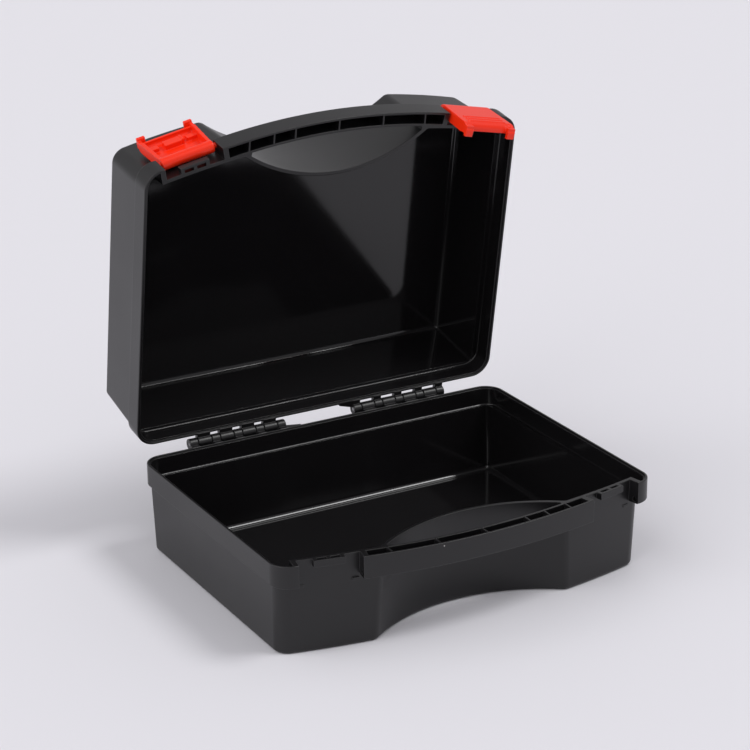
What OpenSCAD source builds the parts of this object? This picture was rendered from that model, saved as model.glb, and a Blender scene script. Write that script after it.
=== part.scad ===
// Moulded carrying case in two hinged half shells with two flip latches.
// Origin: centre of the underside. +X to the right, +Y to the hinges, +Z up.

/* [Case] */
// Overall width across the rim bands
case_w = 250; // [200:1:320]
// Depth from the back of the rim band to its front corners
case_d = 183.6; // [150:1:240]
// Height of one half, rim to outside of its floor
half_h = 58.6; // [45:0.1:80]
// Wall thickness of the shells
wall = 2.4; // [1.6:0.1:4]
// Distance of the middle of the underside from the back of the rim band
back_y = 93; // [80:1:110]
// How far the side walls lie inside the band, at the rim
side_neck = 3.7; // [2.5:0.1:8]
// How far the side walls lie inside the band, at the floor
side_foot = 4.8; // [2.5:0.1:12]
// How far the back wall lies inside the band, at the rim
rear_neck = 1.5; // [1:0.1:8]
// How far the back wall lies inside the band, at the floor
rear_foot = 4.5; // [1:0.1:12]
// Outside corner radius of the body in plan, at the back
rear_r = 4.4; // [3:0.1:20]
// Outside corner radius of the body in plan, at the front
front_corner_r = 9.5; // [3:0.1:20]
// Radius of the rounding where walls meet the floor, outside
floor_r = 2.4; // [1:0.1:5]
// Radius of the rounding where walls meet the floor, inside
fillet_r = 3.2; // [1:0.1:6]

/* [Rim band] */
// Height of the rim band
band_h = 13.9; // [8:0.5:25]
// Corner radius of the rim band in plan
band_r = 12.4; // [8:0.1:30]
// Gap between the two rims when the case is shut
seam = 0.4; // [0.3:0.05:1]
// Depth of the groove along the inner edge of the rim
groove_h = 1.2; // [0.6:0.1:2]

/* [Front and finger scoop] */
// Plan radius of the bowed front wall
front_r = 487; // [300:1:900]
// Distance of the bowed front from the band's back, at the floor
front_foot = 186.5; // [160:0.1:220]
// Distance of the bowed front from the band's back, at the rim
front_rim = 189.7; // [160:0.1:220]
// Plan radius of the finger scoop at the floor
scoop_r0 = 104.2; // [80:0.1:140]
// Plan radius of the finger scoop at the rim
scoop_r1 = 99.5; // [80:0.1:140]
// Distance of the scoop's centre from the band's back
scoop_c = 264.8; // [230:0.1:300]
// Rounding where the scoop meets the front
shoulder_r = 6; // [5:0.5:25]

/* [Handle] */
// Plan radius of the handle bar's outer face
bar_r = 380; // [200:1:500]
// Distance of the bar's outermost point from the band's back
bar_front = 199; // [190:0.5:225]
// Thickness of the bar, front to back
bar_t = 9; // [6:0.5:16]
// Wall thickness of the channel in the bar
bar_wall = 1.5; // [1.2:0.1:3]
// Half width of the opening for the fingers
grip_half = 57; // [40:1:70]
// Thickness of the ribs in the bar
rib_t = 1.1; // [0.8:0.1:3]

/* [Latches] */
// Sideways distance of a latch's middle from the middle of the case
latch_x = 93.9; // [80:0.1:105]
// Distance of the latch pivot from the band's back
latch_y = 184.8; // [170:0.1:200]
// Turn of each latch in plan, following the front
latch_tilt = 12; // [0:0.5:20]
// Width of a latch at its hooks
latch_w = 35.8; // [25:0.1:45]
// Width of a latch at its pivot
pivot_w = 33.6; // [24:0.1:44]
// Reach of a latch below its pivot
latch_l = 31.4; // [24:0.1:40]
// Radius of the latch's pivot barrel
barrel_r = 3.8; // [2.5:0.1:5]
// Height of the latch pivot above the seam
pivot_up = 11.4; // [6:0.1:12]
// Thickness of the latch's front plate
plate_t = 1.6; // [1.4:0.1:3]
// Height of the latch's side walls
side_h = 7; // [4:0.1:9]
// Reach of the hooks from the front face
hook_reach = 8; // [6:0.1:10]
// Sideways gap on each side of a latch in its recess
latch_gap = 0.7; // [0.3:0.1:1.5]
// Radius of the pivot studs
stud_r = 1.6; // [1:0.05:2.5]
// Length of the pivot studs
stud_l = 3.5; // [2:0.1:5]

/* [Hinges] */
// Distance of the hinge axis behind the rim band
hinge_out = 5.2; // [4:0.1:9]
// Outside radius of the knuckles
knuckle_r = 3.4; // [2.5:0.1:5]
// Sideways distance of a hinge's middle from the middle of the case
hinge_x = 57.3; // [45:0.1:70]
// Spacing of the narrow knuckles
knuckle_pitch = 15.1; // [12:0.05:20]
// Width of a narrow knuckle
narrow_w = 5.4; // [3:0.1:7]
// Gap between neighbouring knuckles
knuckle_gap = 0.4; // [0.3:0.05:1]
// Radius of the hinge pins
pin_r = 1.25; // [0.8:0.05:2]

/* [Pose] */
// Opening angle of the lid
lid_open = 80; // [0:1:180]
// Opening angle of the left latch
left_latch_open = 180; // [0:1:185]
// Opening angle of the right latch
right_latch_open = 0; // [0:1:185]

/* [Hidden] */
fine = 64;
coarse = 40;
fit = 0.05;
axis_z = half_h + seam / 2;
axis_y = back_y + hinge_out;
band_z = half_h - band_h;
recess_w = latch_w + 2 * latch_gap;
hinge_half = 2 * knuckle_pitch + narrow_w / 2;
rib_x = [-59, -30, 0, 29, 43, 59];

// ---- plan outline of the body at height z, moved inwards by i ----
function lean(z) = z / half_h;
function side_x(z, i) = case_w / 2 - (side_foot + (side_neck - side_foot) * lean(z)) - i;
function rear_y(z, i) = -(rear_foot + (rear_neck - rear_foot) * lean(z)) - i;
function front_y(z, i) = -(front_foot + (front_rim - front_foot) * lean(z)) + i;
function scoop_r(z, i) = scoop_r0 + (scoop_r1 - scoop_r0) * lean(z) + i;
function arc(c, r, a0, a1, n) =
    [for (k = [0:n]) c + r * [cos(a0 + (a1 - a0) * k / n), sin(a0 + (a1 - a0) * k / n)]];
function flip(p) = [for (k = [len(p) - 1:-1:0]) [-p[k][0], p[k][1]]];

function right_half(z, i) =
    let (rc = max(front_corner_r - i, 0.8), rr = max(rear_r - i, 0.8), rf = front_r - i,
         rs = scoop_r(z, i), sh = max(shoulder_r - i, 0.8),
         x = side_x(z, i), fy = front_y(z, i) + rf,
         // front corner circle, touching the side and the bowed front
         cx = x - rc, cy = fy - sqrt(pow(rf - rc, 2) - cx * cx),
         ca = atan2(cy - fy, cx),
         // shoulder circle, inside the bowed front and outside the scoop
         a = rf - sh, b = rs + sh, d = fy + scoop_c,
         h = (b * b - a * a + d * d) / (2 * d), sx = sqrt(b * b - h * h),
         sy = h - scoop_c,
         fa = atan2(sy - fy, sx), ga = atan2(h, sx))
    concat(
        arc([0, -scoop_c], rs, 90, ga, 9),
        [for (k = [1:6]) [sx, sy] + sh * [cos(ga + 180 + (fa - ga + 180) * k / 6),
                                          sin(ga + 180 + (fa - ga + 180) * k / 6)]],
        [for (k = [1:5]) [0, fy] + rf * [cos(fa + (ca - fa) * k / 5),
                                         sin(fa + (ca - fa) * k / 5)]],
        [for (k = [1:7]) [cx, cy] + rc * [cos(ca * (1 - k / 7)), sin(ca * (1 - k / 7))]],
        arc([x - rr, rear_y(z, i) - rr], rr, 0, 90, 7));

// starts at the middle of the rear edge, from where all of the outline can be seen
function outline(z, i) =
    let (r = right_half(z, i), l = flip(r))
    concat([[0, rear_y(z, i)]], [for (k = [0:len(l) - 2]) l[k]], r);

// ---- solid through a list of outlines, each with its own height ----
module loft(zs, outs) {
    n = len(outs[0]);
    m = len(zs);
    pts = [for (k = [0:m - 1]) for (p = outs[k]) [p[0], p[1], zs[k]]];
    polyhedron(points = pts, convexity = 8, faces = concat(
        [[for (j = [0:n - 1]) j]],
        [[for (j = [0:n - 1]) (m - 1) * n + (n - j) % n]],
        [for (k = [0:m - 2]) for (j = [0:n - 1]) let (q = (j + 1) % n)
            [k * n + j, (k + 1) * n + j, (k + 1) * n + q]],
        [for (k = [0:m - 2]) for (j = [0:n - 1]) let (q = (j + 1) % n)
            [k * n + j, (k + 1) * n + q, k * n + q]]));
}

module body_solid() {
    zs = [0, 0.3 * floor_r, floor_r, half_h + 1];
    ins = [0.8 * floor_r, 0.25 * floor_r, 0, 0];
    loft(zs, [for (k = [0:3]) outline(zs[k], ins[k])]);
}

module body_hollow() {
    zs = [wall, wall + 0.3 * fillet_r, wall + fillet_r, half_h + 2];
    ins = [wall + 0.8 * fillet_r, wall + 0.25 * fillet_r, wall, wall];
    loft(zs, [for (k = [0:3]) outline(zs[k], ins[k])]);
}

// ---- rim band ----
module band_plan(i) {
    r = band_r - i;
    for (x = [-1, 1], y = [-band_r, -case_d + band_r])
        translate([x * (case_w / 2 - band_r), y]) circle(r = r, $fn = fine);
    translate([-case_w / 2 + band_r, -case_d + i]) square([case_w - 2 * band_r, case_d - 2 * i]);
    translate([-case_w / 2 + i, -case_d + band_r]) square([case_w - 2 * i, case_d - 2 * band_r]);
}

module recess_plan(grow, deep) {
    for (s = [-1, 1])
        translate([s * latch_x, -latch_y]) rotate(s * latch_tilt)
            translate([-recess_w / 2 - grow, -30])
                square([recess_w + 2 * grow, 30 + deep]);
}

module front_middle() {
    translate([-latch_x, -case_d - 40]) square([2 * latch_x, 40 + 15]);
    translate([0, -scoop_c]) circle(r = scoop_r0 + wall + 0.6, $fn = 180);
}

module band_solid() {
    translate([0, 0, band_z]) linear_extrude(1.1) difference() {
        band_plan(1);
        recess_plan(0, 6);
        front_middle();
    }
    translate([0, 0, band_z + 1]) linear_extrude(band_h + 0.5) difference() {
        band_plan(0);
        recess_plan(0, 6);
        front_middle();
    }
}

module band_hollow() {
    translate([0, 0, band_z + 1.6]) linear_extrude(band_h) difference() {
        band_plan(wall);
        recess_plan(3, 13);
        front_middle();
    }
    translate([0, 0, half_h - groove_h]) linear_extrude(groove_h + 1) difference() {
        band_plan(wall - 1);
        recess_plan(3, 13);
        front_middle();
    }
}

// ---- handle bar, level with the rim band ----
module bar_disc(r) { translate([0, bar_r - bar_front]) circle(r = r, $fn = 180); }

module bar_solid() {
    difference() {
        translate([0, 0, band_z]) linear_extrude(band_h + 2) difference() {
            intersection() {
                bar_disc(bar_r);
                translate([-80, -bar_front - 1]) square([160, bar_front - case_d + 16]);
            }
            recess_plan(0, 20);
        }
        // opening for the fingers, with slanting ends
        intersection() {
            translate([0, -scoop_c, -1])
                cylinder(h = half_h + 5, r1 = scoop_r(-1, 0.6), r2 = scoop_r(half_h + 4, 0.6),
                         $fn = 180);
            translate([0, 0, 1]) linear_extrude(half_h + 2) intersection() {
                bar_disc(bar_r - bar_t);
                polygon([[-grip_half, -case_d - 5], [-grip_half - 3, -case_d + 30],
                         [grip_half + 3, -case_d + 30], [grip_half, -case_d - 5]]);
            }
        }
    }
}

module bar_pockets() {
    translate([0, 0, band_z + bar_wall]) linear_extrude(band_h) difference() {
        intersection() {
            bar_disc(bar_r - bar_wall);
            translate([-80, -bar_front]) square([160, 40]);
        }
        bar_disc(bar_r - bar_t + bar_wall);
        for (x = rib_x) translate([x - rib_t / 2, -bar_front]) square([rib_t, 40]);
        recess_plan(3.2, 20);
    }
}

// ---- small window frames on the front wall at the rim ----
module keeper(s) {
    translate([s * latch_x, -latch_y]) rotate(s * latch_tilt) difference() {
        translate([-9.2, 0.6, half_h - 4]) cube([18.4, 9.5, 6.5]);
        for (x = [-6.9, 1.1]) translate([x, 2.2, half_h - 5]) cube([5.8, 3.4, 9]);
    }
}

// ---- ledges that the latch hooks snap under ----
module catch_ledges(s) {
    translate([s * latch_x, -latch_y]) rotate(s * latch_tilt)
        for (u = [-1, 1]) translate([u * (recess_w / 2 - 2.6) - 2, 4.6, axis_z + pivot_up - latch_l + 2.8])
            cube([4, 4.5, 1.6]);
}

// ---- sockets for the latch studs ----
module sockets() {
    for (s = [-1, 1]) translate([s * latch_x, -latch_y, axis_z - pivot_up])
        rotate(s * latch_tilt) rotate([0, 90, 0])
            cylinder(h = pivot_w + 2 * stud_l + 0.6, r = stud_r + fit,
                     center = true, $fn = fine);
}

// ---- hinge half: narrow knuckles (wide = false) or wide ones (wide = true) ----
module knuckles(s, wide) {
    w = wide ? knuckle_pitch - narrow_w - 2 * knuckle_gap : narrow_w;
    n = wide ? 3 : 4;
    x0 = s * hinge_x - n / 2 * knuckle_pitch;
    for (k = [0:n]) translate([x0 + k * knuckle_pitch, hinge_out, axis_z]) {
        rotate([0, 90, 0]) cylinder(h = w, r = knuckle_r, center = true, $fn = fine);
        translate([-w / 2, -hinge_out - 1, -knuckle_r]) cube([w, hinge_out + 1, knuckle_r]);
    }
}

// ---- tapering cheek at the inner end of the narrow knuckles ----
module cheek() {
    translate([hinge_half - hinge_x + knuckle_gap, -1, axis_z - knuckle_r])
        linear_extrude(6) polygon([[-2, 0], [-2, 4.8], [0, 4.8], [9, 2], [9, 0]]);
}

module hinge_bores(s, wide) {
    r = wide ? pin_r + fit : pin_r;
    translate([s * hinge_x, hinge_out, axis_z]) rotate([0, 90, 0])
        cylinder(h = 2 * hinge_half + 2, r = r, center = true, $fn = fine);
}

// ---- one half shell, open side up, band's back at y = 0 ----
module half_shell(upper) {
    difference() {
        union() {
            body_solid();
            band_solid();
            bar_solid();
            cheek();
            for (s = [-1, 1]) {
                keeper(s);
                if (!upper) catch_ledges(s);
            }
        }
        body_hollow();
        band_hollow();
        bar_pockets();
        sockets();
        // everything above the rim
        translate([-case_w, -bar_front - 10, half_h]) cube([2 * case_w, bar_front + 30, 20]);
    }
    difference() {
        union() {
            knuckles(-1, false);
            knuckles(1, true);
        }
        hinge_bores(-1, upper);
        hinge_bores(1, upper);
    }
}

// ---- one latch about its pivot: u = x across, -z along, +y inwards ----
module latch_body() {
    hw = latch_w / 2;
    pw = pivot_w / 2;
    front = -barrel_r;
    // pivot barrel and studs
    rotate([0, 90, 0]) cylinder(h = pivot_w, r = barrel_r, center = true, $fn = fine);
    rotate([0, 90, 0]) cylinder(h = pivot_w + 2 * stud_l, r = stud_r, center = true, $fn = fine);
    // front plate, a little narrower at the pivot
    translate([0, front + plate_t, 0]) rotate([90, 0, 0]) linear_extrude(plate_t)
        polygon([[-pw, 0], [-hw, -latch_l + 7], [hw, -latch_l + 7], [pw, 0]]);
    // curled lower edge between the hooks
    translate([-hw + 1, 0, 0]) rotate([90, 0, 90]) linear_extrude(latch_w - 2)
        polygon(concat([[front, -latch_l + 9]],
            arc([front + 4, -latch_l + 7.2], 4, 180, 270, 6),
            [[front + 5.4, -latch_l + 3.2], [front + 5.4, -latch_l + 5]],
            arc([front + 4, -latch_l + 7.2], 2.2, 270, 180, 5), [[front + 1.8, -latch_l + 9]]));
    // grip ridges
    for (k = [0:2]) translate([0, front + 0.45, -latch_l + 7.2 + 3.2 * k])
        rotate([0, 90, 0]) cylinder(h = latch_w - 9, r = 1.1, center = true, $fn = coarse);
    for (s = [-1, 1]) {
        // side walls
        translate([0, front + side_h, 0]) rotate([90, 0, 0]) linear_extrude(side_h)
            polygon([[s * pw, 0], [s * hw, -latch_l + 6], [s * (hw - 2.2), -latch_l + 6],
                     [s * (pw - 2.2), 0]]);
        // their rounded ends
        translate([s * (hw - 1.1) - 1.1, 0, 0]) rotate([90, 0, 90]) linear_extrude(2.2)
            polygon(concat([[front, -latch_l + 6.5]], arc([front + 5, -latch_l + 6], 5, 180, 270, 8),
                [[front + 6.6, -latch_l + 1], [front + 6.6, -latch_l + 6.5]]));
        // hooks
        translate([s * (hw - 2.6) - 2.6, front + 3.4, -latch_l])
            cube([5.2, hook_reach - 3.4, 2.6]);
        translate([s * (hw - 2.6) - 2.6, front + 1.4, -latch_l + 0.6])
            cube([5.2, 3, 4.4]);
    }
    // pads on the inside, the middle one with a rib beside it
    translate([-5.6, front + plate_t - 0.2, -latch_l + 8.6]) cube([10.4, 3.4, 6.2]);
    translate([5.2, front + plate_t - 0.2, -latch_l + 8.6]) cube([1.4, 4, 6.2]);
    for (s = [-1, 1]) translate([s * 12 - 3, front + plate_t - 0.2, -latch_l + 8.8])
        cube([6, 2.6, 4.4]);
}

// ---- placing: upper half turned over about the front-to-back line at the seam ----
module in_lid(angle) {
    translate([0, axis_y, axis_z]) rotate([-angle, 0, 0]) translate([0, -axis_y, -axis_z])
        children();
}

module turned_over() {
    translate([0, back_y, 2 * axis_z]) rotate([0, 180, 0]) children();
}

module latch_placed(s, angle) {
    in_lid(lid_open)
        translate([s * latch_x, back_y - latch_y, axis_z + pivot_up]) rotate(s * latch_tilt)
            rotate([-angle, 0, 0]) latch_body();
}

module base_shell() {
    color([0.13, 0.13, 0.14]) translate([0, back_y, 0]) {
        half_shell(false);
    }
}

module lid_shell() {
    color([0.16, 0.16, 0.17]) in_lid(lid_open) turned_over() {
        half_shell(true);
    }
}

module left_latch() { color([0.9, 0.14, 0.07]) latch_placed(-1, left_latch_open); }

module right_latch() { color([0.9, 0.14, 0.07]) latch_placed(1, right_latch_open); }

module hinge_pin(s) {
    color([0.6, 0.61, 0.63]) translate([s * hinge_x, axis_y, axis_z]) rotate([0, 90, 0])
        cylinder(h = 2 * hinge_half - 0.6, r = pin_r, center = true, $fn = fine);
}

module left_hinge_pin() { hinge_pin(-1); }

module right_hinge_pin() { hinge_pin(1); }

base_shell();
lid_shell();
left_latch();
right_latch();
left_hinge_pin();
right_hinge_pin();
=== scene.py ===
"""Moulded carrying case with a tray-like base, an equally deep lid and two flip latches.
Shapes are worked out in millimetres in the moulding's own frame (rim band's back at y = 0,
floor at z = 0, rim at z = 58.6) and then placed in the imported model's frame, in metres."""
import math

import bpy
from mathutils import Matrix, Vector


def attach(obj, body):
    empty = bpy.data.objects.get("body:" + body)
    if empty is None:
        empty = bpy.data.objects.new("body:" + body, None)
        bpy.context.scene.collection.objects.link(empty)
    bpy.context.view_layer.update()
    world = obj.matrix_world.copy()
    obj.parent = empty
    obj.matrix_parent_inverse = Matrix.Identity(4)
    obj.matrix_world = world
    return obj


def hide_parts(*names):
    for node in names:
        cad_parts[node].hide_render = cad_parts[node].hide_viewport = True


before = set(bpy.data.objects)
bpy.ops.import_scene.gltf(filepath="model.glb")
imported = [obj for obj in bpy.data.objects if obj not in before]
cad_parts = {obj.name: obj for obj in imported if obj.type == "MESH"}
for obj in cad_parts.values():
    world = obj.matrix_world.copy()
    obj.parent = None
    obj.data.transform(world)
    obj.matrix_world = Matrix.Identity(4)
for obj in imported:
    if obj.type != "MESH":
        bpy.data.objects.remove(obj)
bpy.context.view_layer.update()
scene = bpy.context.scene

# ---------------------------------------------------------------- sizes, mm
CASE_W, CASE_D, HALF_H, WALL, BACK_Y = 250.0, 183.6, 58.6, 2.4, 93.0
SIDE_NECK, SIDE_FOOT, REAR_NECK, REAR_FOOT = 3.7, 4.8, 1.5, 4.5
REAR_R, FRONT_CORNER_R = 4.4, 9.5
FLOOR_R, FILLET_R = 2.4, 3.2
BAND_H, BAND_R, SEAM = 13.9, 12.4, 0.4
FRONT_R, FRONT_FOOT, FRONT_RIM = 487.0, 186.5, 189.7
SCOOP_R0, SCOOP_R1, SCOOP_C, SHOULDER_R = 104.2, 99.5, 264.8, 6.0
BAR_R, BAR_FRONT, BAR_T, BAR_WALL, GRIP_HALF = 380.0, 199.0, 9.0, 1.5, 57.0
LATCH_X, LATCH_Y, LATCH_TILT, LATCH_W, PIVOT_W, LATCH_L = 93.9, 184.8, 12.0, 35.8, 33.6, 31.4
BARREL_R, PIVOT_UP, PLATE_T, SIDE_H, HOOK_REACH = 3.8, 11.4, 1.6, 7.0, 8.0
STUD_R, STUD_L = 1.6, 3.5
HINGE_OUT, KNUCKLE_R, HINGE_X, PITCH, NARROW_W, KNUCKLE_GAP = 5.2, 3.4, 57.3, 15.1, 5.4, 0.4
PIN_R, FIT = 1.25, 0.05
LID_OPEN, LEFT_OPEN, RIGHT_OPEN = 80.0, 180.0, 0.0
AXIS_Z = HALF_H + SEAM / 2
AXIS_Y = BACK_Y + HINGE_OUT
BAND_Z = HALF_H - BAND_H
RECESS_W = LATCH_W + 1.4
HINGE_HALF = 2 * PITCH + NARROW_W / 2
RIBS = [-59.0, -30.0, 0.0, 29.0, 43.0, 59.0]
RIB_T = 1.1
BAR_HALF = 80.0
JOG_UP = 1.6
GROOVE_H, GROOVE_IN = 1.2, 1.0
EDGE = 0.35
END_WALL = 3.2


# ---------------------------------------------------------------- plan outlines
def rad(a):
    return math.radians(a)


def lean(z):
    return z / HALF_H


def arc(cx, cy, r, a0, a1, n):
    return [(cx + r * math.cos(a0 + (a1 - a0) * k / n), cy + r * math.sin(a0 + (a1 - a0) * k / n))
            for k in range(n + 1)]


def right_half(z, i):
    rc, rr = max(FRONT_CORNER_R - i, 0.8), max(REAR_R - i, 0.8)
    rf, sh = FRONT_R - i, max(SHOULDER_R - i, 0.8)
    rs = SCOOP_R0 + (SCOOP_R1 - SCOOP_R0) * lean(z) + i
    x = CASE_W / 2 - (SIDE_FOOT + (SIDE_NECK - SIDE_FOOT) * lean(z)) - i
    fy = -(FRONT_FOOT + (FRONT_RIM - FRONT_FOOT) * lean(z)) + i + rf
    ry = -(REAR_FOOT + (REAR_NECK - REAR_FOOT) * lean(z)) - i
    cx = x - rc
    cy = fy - math.sqrt((rf - rc) ** 2 - cx * cx)
    ca = math.atan2(cy - fy, cx)
    a, b, d = rf - sh, rs + sh, fy + SCOOP_C
    h = (b * b - a * a + d * d) / (2 * d)
    sx = math.sqrt(b * b - h * h)
    sy = h - SCOOP_C
    fa, ga = math.atan2(sy - fy, sx), math.atan2(h, sx)
    return (arc(0, -SCOOP_C, rs, math.pi / 2, ga, 30)
            + arc(sx, sy, sh, ga + math.pi, fa + 2 * math.pi, 14)[1:]
            + arc(0, fy, rf, fa, ca, 12)[1:]
            + arc(cx, cy, rc, ca, 0, 12)[1:]
            + arc(x - rr, ry - rr, rr, 0, math.pi / 2, 12))


def outline(z, i):
    r = right_half(z, i)
    left = [(-x, y) for x, y in reversed(r)]
    return [(0.0, r[-1][1])] + left[:-1] + r


def band_outline(i):
    r, hw = BAND_R - i, CASE_W / 2 - BAND_R
    back, front = -BAND_R, -CASE_D + BAND_R
    q = math.pi / 2
    return (arc(hw, front, r, -q, 0, 16) + arc(hw, back, r, 0, q, 16)
            + arc(-hw, back, r, q, 2 * q, 16) + arc(-hw, front, r, 2 * q, 3 * q, 16))


def moved_in(points, d):
    """The outline moved inwards by d, at right angles to its sides."""
    n, out = len(points), []
    for k in range(n):
        (ax, ay), (bx, by), (cx, cy) = points[k - 1], points[k], points[(k + 1) % n]
        ux, uy, vx, vy = bx - ax, by - ay, cx - bx, cy - by
        lu, lv = math.hypot(ux, uy), math.hypot(vx, vy)
        n1, n2 = (-uy / lu, ux / lu), (-vy / lv, vx / lv)
        s = 1 + n1[0] * n2[0] + n1[1] * n2[1]
        out.append((bx + d * (n1[0] + n2[0]) / s, by + d * (n1[1] + n2[1]) / s))
    return out


# ---------------------------------------------------------------- solids
def solid(name, verts, faces, inside=False):
    me = bpy.data.meshes.new(name)
    me.from_pydata(verts, [], faces)
    # two slots, one for the grained outside and one for the smooth inside
    me.materials.append(None)
    me.materials.append(None)
    for p in me.polygons:
        p.material_index = 1 if inside else 0
    me.update()
    ob = bpy.data.objects.new(name, me)
    scene.collection.objects.link(ob)
    return ob


def stack(name, levels, inside=False):
    """Closed solid through a list of (height, outline), anticlockwise seen from above."""
    n = len(levels[0][1])
    verts = [(x, y, z) for z, pts in levels for x, y in pts]
    faces = [list(range(n))[::-1], [(len(levels) - 1) * n + j for j in range(n)]]
    for k in range(len(levels) - 1):
        for j in range(n):
            q = (j + 1) % n
            faces.append([k * n + j, k * n + q, (k + 1) * n + q, (k + 1) * n + j])
    return solid(name, verts, faces, inside)


def quarter(r, n):
    """(set back, height) pairs round a quarter circle, from the flat to the upright."""
    return [(r * (1 - math.sin(k / n * math.pi / 2)), r * (1 - math.cos(k / n * math.pi / 2)))
            for k in range(n + 1)]


def prism(name, points, z0, z1, low=0.0, top=0.0, inside=False):
    """Upright solid on a plan outline, its lower and upper edges rounded by low and top.
    A negative top flares the mouth of a cutter, which rounds the edge of what it cuts."""
    levels = []
    for back, up in (quarter(low, 4) if low else [(0, 0)]):
        levels.append((z0 + up, moved_in(points, back) if back else points))
    if top > 0:
        for back, up in reversed(quarter(top, 4)):
            levels.append((z1 - up, moved_in(points, back) if back else points))
    elif top < 0:
        for back, up in reversed(quarter(-top, 4)):
            levels.append((HALF_H - up, moved_in(points, -back) if back else points))
        levels.append((z1, levels[-1][1]))
    else:
        levels.append((z1, points))
    return stack(name, levels, inside)


def rect(x0, x1, y0, y1):
    return [(x0, y0), (x1, y0), (x1, y1), (x0, y1)]


def turned(points, s):
    """Plan points given at a latch, turned and moved to where the latch is."""
    c, n = math.cos(rad(s * LATCH_TILT)), math.sin(rad(s * LATCH_TILT))
    return [(s * LATCH_X + x * c - y * n, -LATCH_Y + x * n + y * c) for x, y in points]


def bar_arc(r, x0, x1, n=24):
    cy = BAR_R - BAR_FRONT
    return [(x0 + (x1 - x0) * k / n, cy - math.sqrt(r * r - (x0 + (x1 - x0) * k / n) ** 2))
            for k in range(n + 1)]


def along_x(name, profile, x0, x1, edge=0.0, inside=False):
    """Solid along X with a profile in (y, z), its end edges rounded by edge."""
    levels = [(x0 + up, moved_in(profile, b) if b else profile) for b, up in
              (quarter(edge, 3) if edge else [(0, 0)])]
    levels += [(x1 - up, moved_in(profile, b) if b else profile) for b, up in
               reversed(quarter(edge, 3) if edge else [(0, 0)])]
    ob = stack(name, levels, inside)
    for v in ob.data.vertices:
        v.co = (v.co.z, v.co.x, v.co.y)
    ob.data.update()
    return ob


def bake(ob):
    """Puts the modifiers' result into the object's own mesh."""
    dg = bpy.context.evaluated_depsgraph_get()
    me = bpy.data.meshes.new_from_object(ob.evaluated_get(dg))
    ob.modifiers.clear()
    ob.data = me
    return ob


def combine(ob, tools, operation):
    for t in tools:
        m = ob.modifiers.new("solid", "BOOLEAN")
        m.operation, m.object, m.solver = operation, t, "MANIFOLD"
    bake(ob)
    for t in tools:
        bpy.data.objects.remove(t)
    return ob


def join(ob, *tools):
    return combine(ob, tools, "UNION")


def cut(ob, *tools):
    return combine(ob, tools, "DIFFERENCE")


def common(ob, *tools):
    return combine(ob, tools, "INTERSECT")


# ---------------------------------------------------------------- half shell
def recess_cutters(grow, deep):
    return [prism("recess", turned(rect(-RECESS_W / 2 - grow, RECESS_W / 2 + grow, -30, deep), s),
                  -5, 90) for s in (-1, 1)]


def front_middle_cutters():
    return [prism("middle", rect(-LATCH_X, LATCH_X, -CASE_D - 40, -CASE_D + 15), -5, 90),
            prism("middle_arc", arc(0, -SCOOP_C, SCOOP_R0 + WALL + 0.6, 0, 2 * math.pi, 180)[:-1],
                  -5, 90)]


def body_solid():
    low = [(up, outline(up, back)) for back, up in quarter(FLOOR_R, 6)]
    top = [(HALF_H - up, outline(HALF_H - up, back)) for back, up in reversed(quarter(EDGE, 3))]
    return stack("body", low + top)


def body_hollow():
    low = [(WALL + up, outline(WALL + up, WALL + back)) for back, up in quarter(FILLET_R, 8)]
    top = [(HALF_H - up, outline(HALF_H - up, WALL - back))
           for back, up in reversed(quarter(EDGE, 3))]
    return stack("hollow", low + top + [(HALF_H + 2, outline(HALF_H, WALL - EDGE))], True)


def band_solid():
    low = [(BAND_Z + up, band_outline(back)) for back, up in quarter(0.9, 5)]
    top = [(HALF_H - up, band_outline(back)) for back, up in reversed(quarter(0.5, 4))]
    band = stack("band", low + top)
    return cut(band, *recess_cutters(0, 6), *front_middle_cutters())


def band_hollow():
    low = [(BAND_Z + JOG_UP + up, band_outline(WALL + back)) for back, up in quarter(0.8, 4)]
    wide = stack("band_hollow", low + [(HALF_H + 2, band_outline(WALL))], True)
    lip = WALL - GROOVE_IN
    step = stack("step", [(HALF_H - GROOVE_H, band_outline(lip))]
                 + [(HALF_H - up, band_outline(lip - back))
                    for back, up in reversed(quarter(0.3, 3))]
                 + [(HALF_H + 2, band_outline(lip - 0.3))])
    join(wide, step)
    return cut(wide, *recess_cutters(3, 13), *front_middle_cutters())


def bar_solid():
    outer = bar_arc(BAR_R, -BAR_HALF, BAR_HALF, 48)
    plan = outer + [(BAR_HALF, -CASE_D + 16), (-BAR_HALF, -CASE_D + 16)]
    bar = prism("bar", plan, BAND_Z, HALF_H, low=0.7, top=0.45)
    cut(bar, *recess_cutters(0, 20))
    # the opening for the fingers
    levels = []
    for z in (-1, HALF_H + 4):
        r = SCOOP_R0 + (SCOOP_R1 - SCOOP_R0) * lean(z) + 0.6
        levels.append((z, arc(0, -SCOOP_C, r, 0, 2 * math.pi, 180)[:-1]))
    grip = stack("grip", levels)
    x1 = GRIP_HALF + 3
    inner = bar_arc(BAR_R - BAR_T, -GRIP_HALF, GRIP_HALF, 40)
    slot = prism("grip_slot", inner + [(x1, -CASE_D + 30), (-x1, -CASE_D + 30)], 1, HALF_H + 2,
                 top=-EDGE)
    common(grip, slot)
    return cut(bar, grip)


def bar_pockets():
    out = []
    edges = [-BAR_HALF] + RIBS + [BAR_HALF]
    for a, b in zip(edges, edges[1:]):
        x0, x1 = a + RIB_T / 2, b - RIB_T / 2
        lower = bar_arc(BAR_R - BAR_WALL, x0, x1, 10)
        upper = bar_arc(BAR_R - BAR_T + BAR_WALL, x0, x1, 10)
        pocket = prism("pocket", lower + upper[::-1], BAND_Z + BAR_WALL, HALF_H + 2, low=0.5,
                       top=-0.3)
        if BAR_HALF in (b, -a):
            cut(pocket, *recess_cutters(END_WALL, 20))
        out.append(pocket)
    return out


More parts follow.
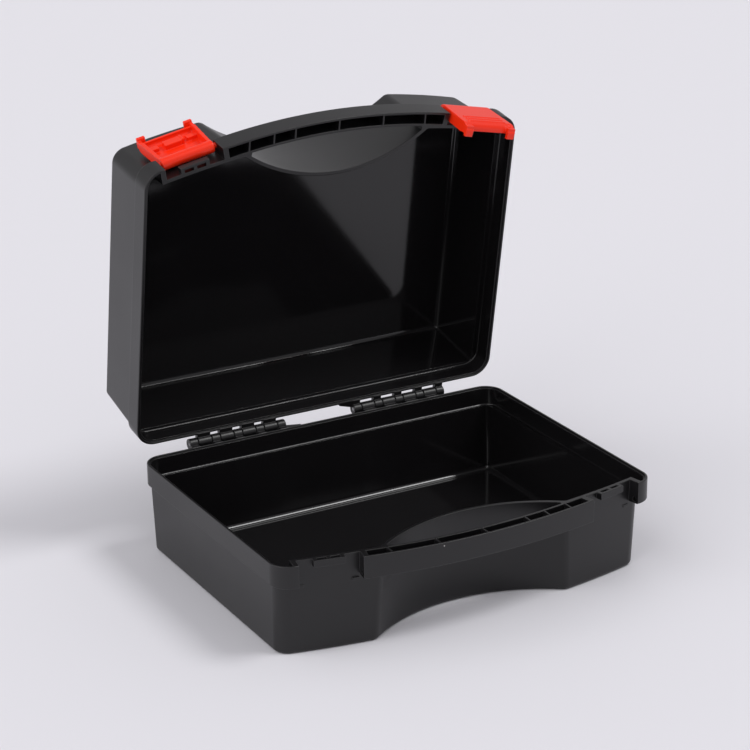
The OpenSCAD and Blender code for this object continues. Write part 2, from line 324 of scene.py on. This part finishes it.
def keeper(s):
    body = prism("keeper", turned(rect(-9.2, 9.2, 0.6, 10.1), s), HALF_H - 4, HALF_H, top=0.3)
    for x in (-6.9, 1.1):
        cut(body, prism("window", turned(rect(x, x + 5.8, 2.2, 5.6), s), HALF_H - 5, HALF_H + 2,
                        top=-0.25))
    return body


def ledges(s):
    z = AXIS_Z + PIVOT_UP - LATCH_L + 2.8
    mids = [u * (RECESS_W / 2 - 2.6) for u in (-1, 1)]
    return [prism("ledge", turned(rect(x - 2, x + 2, 4.6, 9.1), s), z, z + 1.6) for x in mids]


def socket(s):
    half = PIVOT_W / 2 + STUD_L + 0.3
    ob = along_x("socket", arc(0, 0, STUD_R + FIT, 0, 2 * math.pi, 32)[:-1], -half, half)
    ob.data.transform(Matrix.Translation((s * LATCH_X, -LATCH_Y, AXIS_Z - PIVOT_UP))
                      @ Matrix.Rotation(rad(s * LATCH_TILT), 4, "Z"))
    return ob


def knuckles(s, wide):
    w = PITCH - NARROW_W - 2 * KNUCKLE_GAP if wide else NARROW_W
    n = 3 if wide else 4
    round_part = arc(HINGE_OUT, AXIS_Z, KNUCKLE_R, -math.pi / 2, math.pi, 30)
    profile = [(-1.0, AXIS_Z - KNUCKLE_R)] + round_part[:-1] + [
        (HINGE_OUT - KNUCKLE_R, AXIS_Z), (-1.0, AXIS_Z)]
    out = []
    for k in range(n + 1):
        x = s * HINGE_X + (k - n / 2) * PITCH
        out.append(along_x("knuckle", profile, x - w / 2, x + w / 2, edge=0.4))
    return out


def cheek():
    x = HINGE_HALF - HINGE_X + KNUCKLE_GAP
    return prism("cheek", [(x - 2, -1), (x + 9, -1), (x + 9, 1), (x, 3.8), (x - 2, 3.8)],
                 AXIS_Z - KNUCKLE_R, HALF_H, low=0.3, top=0.3)


def bore(s, wide):
    r = PIN_R + FIT if wide else PIN_R
    return along_x("bore", arc(HINGE_OUT, AXIS_Z, r, 0, 2 * math.pi, 32)[:-1],
                   s * HINGE_X - HINGE_HALF - 1, s * HINGE_X + HINGE_HALF + 1)


def half_shell(name, upper):
    shell = body_solid()
    parts = [band_solid(), bar_solid(), cheek()]
    for s in (-1, 1):
        parts.append(keeper(s))
        if not upper:
            parts += ledges(s)
    join(shell, *parts)
    cut(shell, body_hollow(), band_hollow(), *bar_pockets(), socket(-1), socket(1))
    join(shell, *knuckles(-1, False), *knuckles(1, True))
    cut(shell, bore(-1, upper), bore(1, upper))
    shell.name = name
    return shell


# ---------------------------------------------------------------- latch
def latch_body(name):
    hw, pw, front, low = LATCH_W / 2, PIVOT_W / 2, -BARREL_R, -LATCH_L
    barrel = along_x("barrel", arc(0, 0, BARREL_R, 0, 2 * math.pi, 64)[:-1], -pw, pw, edge=0.5)
    parts = [along_x("studs", arc(0, 0, STUD_R, 0, 2 * math.pi, 40)[:-1], -pw - STUD_L, pw + STUD_L)]

    def block(x0, x1, y0, y1, z0, z1, low_edge=0.0, top_edge=0.0):
        parts.append(prism("block", rect(x0, x1, y0, y1), z0, z1, low_edge, top_edge))

    def sheet(points, y0, y1):
        """Outline in (x, z), anticlockwise seen from the front, thickened along y."""
        n = len(points)
        verts = [(x, y0, z) for x, z in points] + [(x, y1, z) for x, z in points]
        faces = [list(range(n)), [n + k for k in range(n)][::-1]]
        faces += [[k, n + k, n + (k + 1) % n, (k + 1) % n] for k in range(n)]
        parts.append(solid("sheet", verts, faces))

    sheet([(-pw, 0), (-hw, low + 7), (hw, low + 7), (pw, 0)], front, front + PLATE_T)
    curl = ([(front, low + 9)] + arc(front + 4, low + 7.2, 4, math.pi, 1.5 * math.pi, 16)
            + [(front + 5.4, low + 3.2), (front + 5.4, low + 5)]
            + arc(front + 4, low + 7.2, 2.2, 1.5 * math.pi, math.pi, 12) + [(front + 1.8, low + 9)])
    parts.append(along_x("curl", curl, -hw + 1, hw - 1))
    for k in range(3):
        parts.append(along_x("ridge", arc(front + 0.45, low + 7.2 + 3.2 * k, 1.1, 0, 2 * math.pi,
                                          24)[:-1], -hw + 4.5, hw - 4.5))
    for s in (-1, 1):
        wall = [(s * pw, 0), (s * (pw - 2.2), 0), (s * (hw - 2.2), low + 6), (s * hw, low + 6)]
        sheet(wall if s > 0 else wall[::-1], front, front + SIDE_H)
        x0, x1 = s * (hw - 1.1) - 1.1, s * (hw - 1.1) + 1.1
        end = arc(front + 5, low + 6, 5, math.pi, 1.5 * math.pi, 16)
        parts.append(along_x("end", end + [(front + 6.6, low + 1), (front + 6.6, low + 6.5),
                                           (front, low + 6.5)], x0, x1))
        h0, h1 = s * (hw - 2.6) - 2.6, s * (hw - 2.6) + 2.6
        block(h0, h1, front + 3.4, front + HOOK_REACH, low, low + 2.6, 0.5, 0.5)
        block(h0, h1, front + 1.4, front + 4.4, low + 0.6, low + 5)
        block(s * 12 - 3, s * 12 + 3, front + PLATE_T - 0.2, front + PLATE_T + 2.4,
              low + 8.8, low + 13.2, 0.3, 0.3)
    block(-5.6, 4.8, front + PLATE_T - 0.2, front + PLATE_T + 3.2, low + 8.6, low + 14.8, 0.3, 0.3)
    block(5.2, 6.6, front + PLATE_T - 0.2, front + PLATE_T + 3.8, low + 8.6, low + 14.8, 0.3, 0.3)
    join(barrel, *parts)
    m = barrel.modifiers.new("fine", "REMESH")
    m.mode, m.voxel_size, m.use_smooth_shade = "VOXEL", 0.24, True
    m = barrel.modifiers.new("soft", "SMOOTH")
    m.factor, m.iterations = 0.5, 7
    m = barrel.modifiers.new("light", "DECIMATE")
    m.ratio = 0.4
    bake(barrel)
    barrel.name = name
    return barrel


# ---------------------------------------------------------------- placing
def in_lid(angle):
    hinge = Matrix.Translation((0, AXIS_Y, AXIS_Z))
    return hinge @ Matrix.Rotation(rad(-angle), 4, "X") @ hinge.inverted()


TURNED_OVER = Matrix.Translation((0, BACK_Y, 2 * AXIS_Z)) @ Matrix.Rotation(math.pi, 4, "Y")


def latch_place(s, angle):
    return (in_lid(LID_OPEN)
            @ Matrix.Translation((s * LATCH_X, BACK_Y - LATCH_Y, AXIS_Z + PIVOT_UP))
            @ Matrix.Rotation(rad(s * LATCH_TILT), 4, "Z") @ Matrix.Rotation(rad(-angle), 4, "X"))


def place(ob, matrix):
    ob.data.transform(Matrix.Scale(0.001, 4) @ matrix)
    ob.data.update()
    return ob


# ---------------------------------------------------------------- materials
def node_tree(name):
    mat = bpy.data.materials.new(name)
    mat.use_nodes = True
    nt = mat.node_tree
    bsdf = next(n for n in nt.nodes if n.type == "BSDF_PRINCIPLED")
    return mat, nt, bsdf


def plastic(name, base, light, rough, rough_spread, grain, grain_depth, specks=0.0, edge_r=0.0003,
            spec=0.5, edge_highlight=None):
    mat, nt, bsdf = node_tree(name)
    N, L = nt.nodes.new, nt.links.new
    coord = N("ShaderNodeTexCoord")
    big = N("ShaderNodeTexNoise")
    big.inputs["Scale"].default_value = 14
    big.inputs["Detail"].default_value = 3
    L(coord.outputs["Object"], big.inputs["Vector"])
    fine = N("ShaderNodeTexNoise")
    fine.inputs["Scale"].default_value = grain
    fine.inputs["Detail"].default_value = 2
    L(coord.outputs["Object"], fine.inputs["Vector"])
    mix = N("ShaderNodeMix")
    mix.data_type = "RGBA"
    mix.inputs["A"].default_value = (*base, 1)
    mix.inputs["B"].default_value = (*light, 1)
    L(big.outputs["Fac"], mix.inputs["Factor"])
    colour = mix.outputs["Result"]
    if specks:
        dots = N("ShaderNodeTexVoronoi")
        dots.inputs["Scale"].default_value = 210
        L(coord.outputs["Object"], dots.inputs["Vector"])
        pick = N("ShaderNodeMath")
        pick.operation = "LESS_THAN"
        pick.inputs[1].default_value = 0.09
        L(dots.outputs["Distance"], pick.inputs[0])
        rare = N("ShaderNodeMath")
        rare.operation = "GREATER_THAN"
        rare.inputs[1].default_value = 1 - specks
        L(dots.outputs["Color"], rare.inputs[0])
        both = N("ShaderNodeMath")
        both.operation = "MULTIPLY"
        L(pick.outputs[0], both.inputs[0])
        L(rare.outputs[0], both.inputs[1])
        dust = N("ShaderNodeMix")
        dust.data_type = "RGBA"
        L(both.outputs[0], dust.inputs["Factor"])
        L(colour, dust.inputs["A"])
        dust.inputs["B"].default_value = (0.35, 0.34, 0.33, 1)
        colour = dust.outputs["Result"]
    bev = None
    if edge_r:
        bev = N("ShaderNodeBevel")
        bev.samples = 6
        bev.inputs["Radius"].default_value = edge_r
    if edge_highlight:
        # edges, where the rounded normal leaves the flat one, get a painted highlight: their colour
        # is made a little lighter
        flat = N("ShaderNodeNewGeometry")
        turn = N("ShaderNodeVectorMath")
        turn.operation = "DOT_PRODUCT"
        L(bev.outputs["Normal"], turn.inputs[0])
        L(flat.outputs["Normal"], turn.inputs[1])
        edge = N("ShaderNodeMapRange")
        edge.inputs["From Min"].default_value = 0.75
        edge.inputs["From Max"].default_value = 0.99
        edge.inputs["To Min"].default_value = 1.0
        edge.inputs["To Max"].default_value = 0.0
        L(turn.outputs["Value"], edge.inputs["Value"])
        edge_highlight_mix = N("ShaderNodeMix")
        edge_highlight_mix.data_type = "RGBA"
        L(edge.outputs["Result"], edge_highlight_mix.inputs["Factor"])
        L(colour, edge_highlight_mix.inputs["A"])
        edge_highlight_mix.inputs["B"].default_value = (*edge_highlight, 1)
        colour = edge_highlight_mix.outputs["Result"]
    L(colour, bsdf.inputs["Base Color"])
    span = N("ShaderNodeMapRange")
    span.inputs["To Min"].default_value = rough - rough_spread
    span.inputs["To Max"].default_value = rough + rough_spread
    L(big.outputs["Fac"], span.inputs["Value"])
    L(span.outputs["Result"], bsdf.inputs["Roughness"])
    bump = N("ShaderNodeBump")
    bump.inputs["Strength"].default_value = 1.0
    bump.inputs["Distance"].default_value = grain_depth
    L(fine.outputs["Fac"], bump.inputs["Height"])
    if bev:
        L(bev.outputs["Normal"], bump.inputs["Normal"])
    L(bump.outputs["Normal"], bsdf.inputs["Normal"])
    bsdf.inputs["Specular IOR Level"].default_value = spec
    return mat


# the grained black has a painted highlight along its edges, a lighter colour where the rounded normal
# turns away
GRAINED = plastic("grained_black", (0.0018, 0.0016, 0.002), (0.0055, 0.005, 0.0058), 0.36, 0.07, 2600,
                  0.00003, specks=0.05, edge_r=0.00035, edge_highlight=(0.07, 0.067, 0.07))
GLOSSY = plastic("smooth_black", (0.0055, 0.005, 0.0056), (0.0085, 0.008, 0.0086), 0.08, 0.03, 300,
                 0.000003)
RED = plastic("red_plastic", (0.86, 0.02, 0.0025), (0.93, 0.032, 0.004), 0.3, 0.05, 1800, 0.000006,
              edge_r=0.0, spec=0.35)
WIRE = plastic("pin_wire", (0.42, 0.42, 0.43), (0.5, 0.5, 0.51), 0.3, 0.05, 3000, 0.000004,
               edge_r=0.0)
WIRE.node_tree.nodes["Principled BSDF"].inputs["Metallic"].default_value = 1.0


def finish(ob, body, node, slot, *materials):
    for k, m in enumerate(materials):
        if k < len(ob.data.materials):
            ob.data.materials[k] = m
        else:
            ob.data.materials.append(m)
    ob.data.set_sharp_from_angle(angle=rad(32))
    for p in ob.data.polygons:
        p.use_smooth = True
    # shading follows the large faces, so the thin ones along cut edges leave no streaks
    even = ob.modifiers.new("even_shading", "WEIGHTED_NORMAL")
    even.keep_sharp, even.weight = True, 100
    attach(ob, body)
    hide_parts(node)
    return ob


base = place(half_shell("base_shell_moulding", False), Matrix.Translation((0, BACK_Y, 0)))
finish(base, "base", "base_shell", "base_plastic", GRAINED, GLOSSY)
lid = place(half_shell("lid_shell_moulding", True), in_lid(LID_OPEN) @ TURNED_OVER)
finish(lid, "lid", "lid_shell", "lid_plastic", GRAINED, GLOSSY)
latch = latch_body("left_flip_latch")
other = latch.copy()
other.data = latch.data.copy()
other.name = "right_flip_latch"
scene.collection.objects.link(other)
finish(place(latch, latch_place(-1, LEFT_OPEN)), "left_latch", "left_latch", "latch_plastic", RED)
finish(place(other, latch_place(1, RIGHT_OPEN)), "right_latch", "right_latch", "latch_plastic", RED)
for side in ("left", "right"):
    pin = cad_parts[side + "_hinge_pin"]
    pin.data.materials.clear()
    pin.data.materials.append(WIRE)

# ---------------------------------------------------------------- floor, light, camera
floor = solid("floor", [(-6, -6, 0), (6, -6, 0), (6, 6, 0), (-6, 6, 0)], [[0, 1, 2, 3]])
mat, nt, bsdf = node_tree("paper")
bsdf.inputs["Base Color"].default_value = (0.745, 0.735, 0.775, 1)
bsdf.inputs["Roughness"].default_value = 0.7
floor.data.materials[0] = mat

world = bpy.data.worlds.new("studio")
scene.world = world
world.use_nodes = True
world.node_tree.nodes["Background"].inputs["Color"].default_value = (0.98, 0.97, 1.0, 1)
world.node_tree.nodes["Background"].inputs["Strength"].default_value = 0.53


def lamp(name, towards, strength, angle):
    """A far, soft light; towards points from the case to the light."""
    data = bpy.data.lights.new(name, "SUN")
    data.energy, data.angle = strength, rad(angle)
    ob = bpy.data.objects.new(name, data)
    scene.collection.objects.link(ob)
    ob.rotation_mode = "QUATERNION"
    ob.rotation_quaternion = Vector(towards).to_track_quat("Z", "Y")
    return ob


lamp("overhead", (0.45, -0.33, 0.83), 1.1, 22)
lamp("left_soft", (-0.8, -0.05, 0.6), 1.3, 70)

camera = bpy.data.objects.new("camera", bpy.data.cameras.new("camera"))
scene.collection.objects.link(camera)
camera.data.sensor_width = 36.0
camera.data.lens = 118.769
AZ, EL, ROLL = rad(-29.019), rad(20.760), rad(-0.656)
TX, TY, DIST = -10.949, 54.092, 1479.365
back = Vector((math.sin(AZ) * math.cos(EL), -math.cos(AZ) * math.cos(EL), math.sin(EL)))
right = Vector((math.cos(AZ), math.sin(AZ), 0))
up = back.cross(right)
r2 = right * math.cos(ROLL) + up * math.sin(ROLL)
u2 = -right * math.sin(ROLL) + up * math.cos(ROLL)
eye = (Vector((0, 3, 60)) + back * DIST + r2 * TX + u2 * TY) * 0.001
camera.matrix_world = Matrix(((r2.x, u2.x, back.x, eye.x), (r2.y, u2.y, back.y, eye.y),
                              (r2.z, u2.z, back.z, eye.z), (0, 0, 0, 1)))
camera.data.clip_start, camera.data.clip_end = 0.05, 50
scene.camera = camera
scene.view_settings.view_transform = "Standard"
